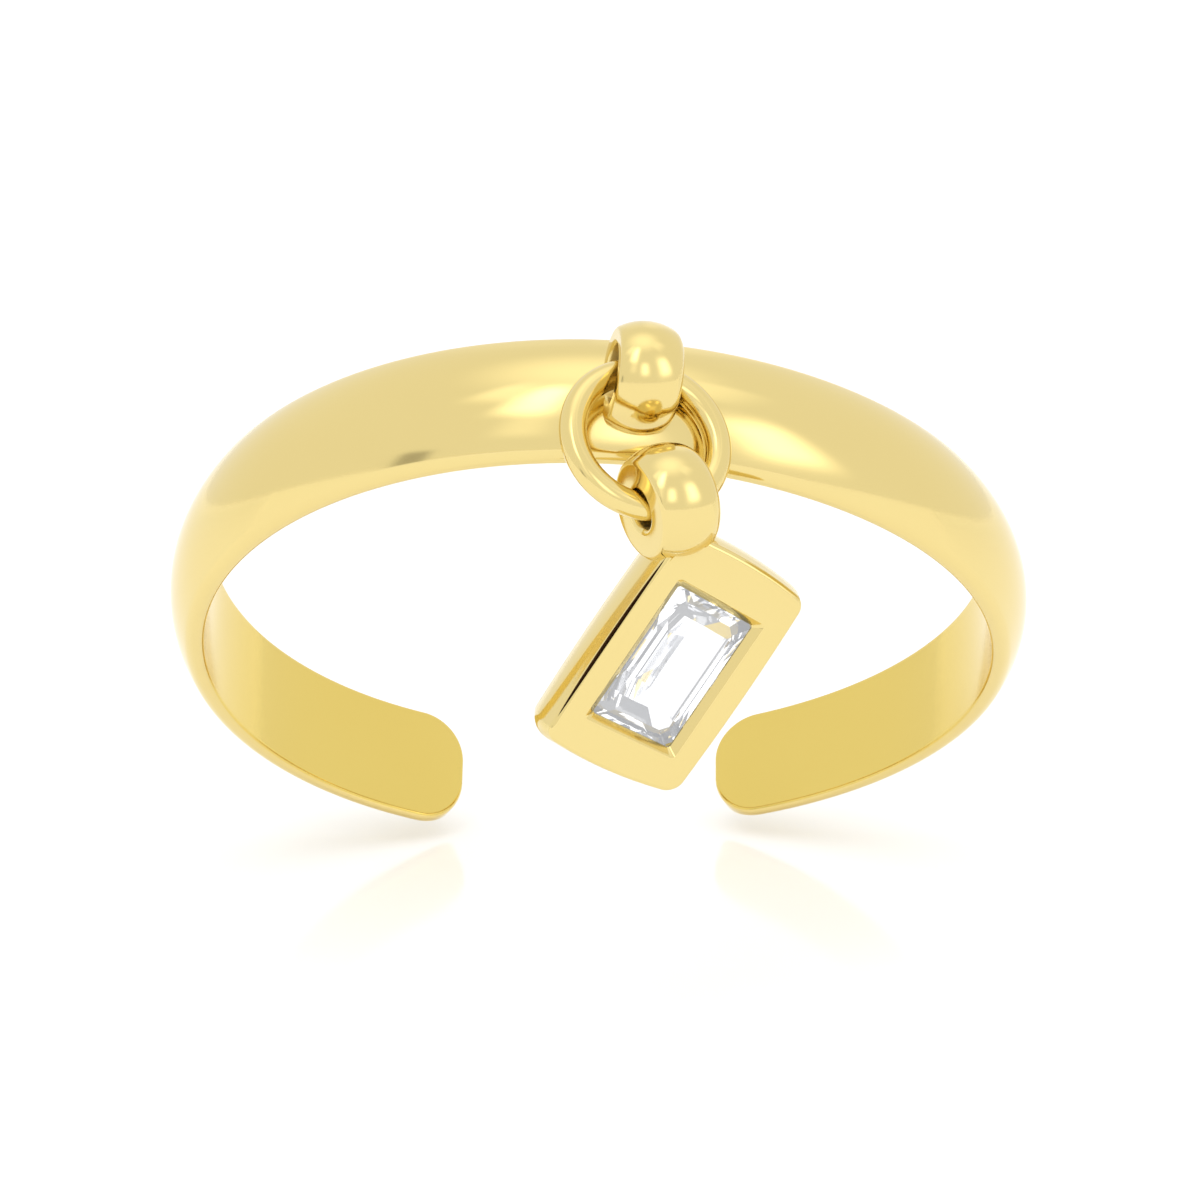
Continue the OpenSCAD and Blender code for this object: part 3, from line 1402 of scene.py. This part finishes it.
@dataclass
class Studio:
    """A white tent with soft cards."""

    tent: float = 1.0
    cards: Tuple[Card, ...] = (
        Card(0, 90, 400, 36, 28, 0.42),
        Card(-38, 62, 44, 16, 12, 0.4),
        Card(-22, 38, 12, 36, 10, 0.22),
        Card(46, 28, 24, 40, 20, 0.26),
        Card(78, 64, 40, 14, 12, 0.2),
        Card(4, 27, 14, 22, 14, 1.0),
        Card(-26, 56, 18, 28, 14, 1.2),
        Card(50, 27, 22, 28, 16, 0.9),
        Card(171, 15, 16, 60, 12, 0.12),
        Card(-171, 15, 16, 60, 12, 0.05),
        Card(-46, 2, 8, 16, 4, -0.5),
    )

    def light(self) -> None:
        """Builds the tent."""
        world = bpy.data.worlds.new("Tent")
        bpy.context.scene.world = world
        world.use_nodes = True
        graph = Graph(world.node_tree)
        x, y, z = graph.split(graph.node("ShaderNodeTexCoord").outputs["Generated"])
        azimuth = graph.math("ARCTAN2", x, 0.0 - y)
        elevation = graph.math("ARCSINE", z)
        total: Number = self.tent
        for card in self.cards:
            masks = []
            for angle, middle, size in (
                (azimuth, card.azimuth, card.width), (elevation, card.elevation, card.height)
            ):
                off = graph.math("ABSOLUTE", angle - math.radians(middle))
                edge = (math.radians((size - card.soft) / 2), math.radians((size + card.soft) / 2))
                masks.append(graph.remap(off, edge, (1.0, 0.0), "SMOOTHSTEP"))
            total = masks[0] * masks[1] * card.strength + total
        back = graph.node("ShaderNodeBackground")
        graph.fill(back, {"Color": (1.0, 1.0, 1.0, 1.0), "Strength": total})
        graph.feed(graph.node("ShaderNodeOutputWorld").inputs["Surface"], back.outputs[0])


@dataclass
class Floor:
    """A pale glossy floor just below the ring's ends. Its gloss fades towards the front."""

    gap: float = 0.12
    size: float = 1.5
    colour: Colour = (0.97, 0.97, 0.97)
    roughness: float = 0.1
    glow: float = 0.08
    gloss_along: Point = (-5.0, 7.0)
    gloss: Point = (0.0, 1.0)

    def lay(self) -> None:
        """Lays the floor."""
        height = CAD_BOX[0][2] - self.gap * MM
        half = self.size / 2
        mesh = bpy.data.meshes.new("Floor")
        sides = ((-half, -half), (half, -half), (half, half), (-half, half))
        mesh.from_pydata([(x, y, height) for x, y in sides], [], [(0, 1, 2, 3)])
        floor = linked("studio_floor", mesh)
        graph = SurfaceGraph("White acrylic")
        _, along, _ = graph.split(graph.place)
        ends = (self.gloss_along[0] * MM, self.gloss_along[1] * MM)
        mesh.materials.append(graph.surface({
            "Base Color": (*self.colour, 1.0),
            "Roughness": self.roughness,
            "Emission Color": (1.0, 1.0, 1.0, 1.0),
            "Emission Strength": self.glow,
            "Specular IOR Level": graph.remap(along, ends, self.gloss, "SMOOTHSTEP"),
        }))


@dataclass
class Viewpoint:
    """The camera, where the photograph was taken from."""

    elevation: float = 15.0
    distance: float = 72.56
    side: float = 0.035
    rise: float = 0.244
    focal_px: float = 3551.0
    image_px: float = 1200.0
    sensor: float = 36.0
    near: float = 2.0
    far: float = 10000.0

    def place(self) -> None:
        """Puts the camera up."""
        data = bpy.data.cameras.new("Camera")
        data.sensor_width = self.sensor
        data.lens = self.sensor * self.focal_px / self.image_px
        data.clip_start = self.near * MM
        data.clip_end = self.far * MM
        camera = linked("Camera", data)
        tilt = math.radians(self.elevation)
        camera.location = Vector((
            self.side,
            self.rise * math.sin(tilt) - self.distance * math.cos(tilt),
            self.rise * math.cos(tilt) + self.distance * math.sin(tilt),
        )) * MM
        camera.rotation_euler = (math.pi / 2 - tilt, 0.0, 0.0)
        bpy.context.scene.camera = camera


def main() -> None:
    """Builds the ring piece by piece."""
    logging.basicConfig(level=logging.INFO, format="%(name)s: %(message)s")
    # The band's inside is the same gold as its outside. Its darker, deeper colour is painted shade: the colour
    # that light takes on when it is reflected twice between the band's gold walls. It is also a little rougher.
    inside = Gold(
        name="Deeper gold inside the band",
        colour=(0.80, 0.615, 0.175),
        deep_colour=(0.77, 0.58, 0.15),
        roughness=(0.12, 0.2),
    )
    satin = Gold(name="Satin gold of the bored holes", roughness=(0.34, 0.42))
    # The stone's pocket is gold. Its near-white colour is a painted reflection, so that the stone shows white
    # light where it would show gold.
    seat_painted_white = Gold(
        name="Bright-cut seat", colour=(0.9, 0.9, 0.91), deep_colour=(0.78, 0.79, 0.81)
    )
    metal = Finishes(
        polish=Gold().material(),
        inside=inside.material(),
        bore=satin.material(),
        seat=seat_painted_white.material(),
        # Painted shade for the left crease
        dark=PaintedCreaseShade().material(),
    )
    OpenBand().place(metal)
    WireRing().place(metal)
    setting = Setting()
    setting.place(metal)
    Stone().place(setting, ClearStone().material())
    Studio().light()
    Floor().lay()
    Viewpoint().place()
    bpy.context.scene.view_settings.view_transform = "Standard"


if __name__ == "__main__":
    main()
